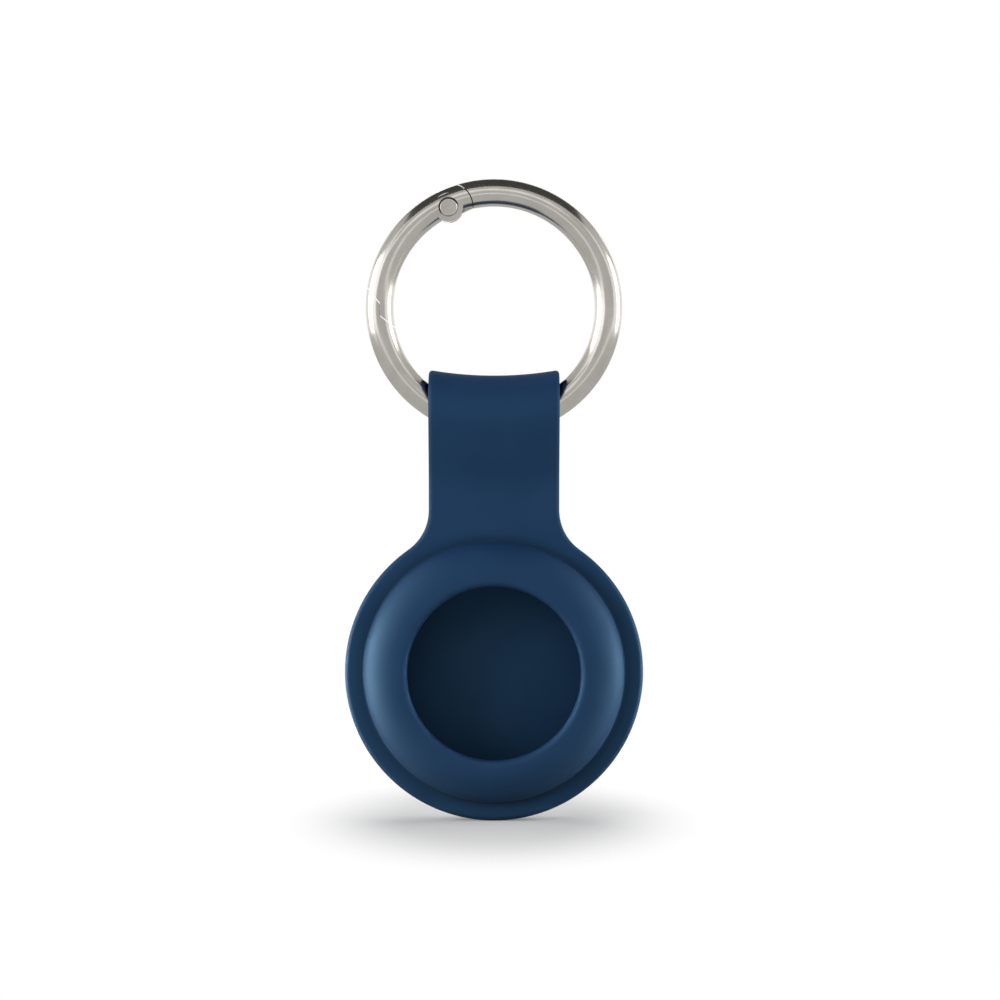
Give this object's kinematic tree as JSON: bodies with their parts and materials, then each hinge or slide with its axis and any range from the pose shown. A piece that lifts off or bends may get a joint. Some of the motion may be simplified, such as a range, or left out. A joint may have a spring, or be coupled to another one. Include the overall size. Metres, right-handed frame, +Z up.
{
  "type": "tracker tag holder",
  "caption": "Folded silicone holder with a round pocket and front window for a coin-shaped tracker tag, hung by its strap on a metal spring-gate key ring.",
  "frame": {"origin": "centre of the key ring, which is what the holder hangs from", "axes": "+Z up along the strap, +Y along the ring's axis towards the back, so the window faces -Y"},
  "size_m": [0.04, 0.0108, 0.0861],
  "materials": {
    "silicone": "matt moulded silicone, dark blue",
    "nickel": "bright nickel plate",
    "spring_steel": "drawn wire"
  },
  "bodies": {
    "ring": {"ring_body": "nickel"},
    "gate": {"ring_gate": "nickel", "gate_rivet": "nickel", "gate_spring": "spring_steel"},
    "holder": {"front_shell": "silicone"},
    "flap": {"back_shell": "silicone"}
  },
  "joints": [
    {"name": "gate_open", "type": "hinge", "parent": "ring", "child": "gate", "pos_m": [-0.00608, 0, 0.01333], "axis": [0, -1, 0], "range_deg": [0, 35], "stiffness_Nm_per_rad": 0.02, "springref_deg": -22.92, "deforming": ["gate_spring"]},
    {"name": "holder_swing", "type": "hinge", "parent": "ring", "child": "holder", "pos_m": [0, 0, -0.01374], "axis": [1, 0, 0], "range_deg": [-75, 75]},
    {"name": "flap_open", "type": "hinge", "parent": "holder", "child": "flap", "pos_m": [0, 0.00397, -0.01749], "axis": [1, 0, 0], "range_deg": [0, 90], "stiffness_Nm_per_rad": 0.002, "springref_deg": -11.46}
  ]
}
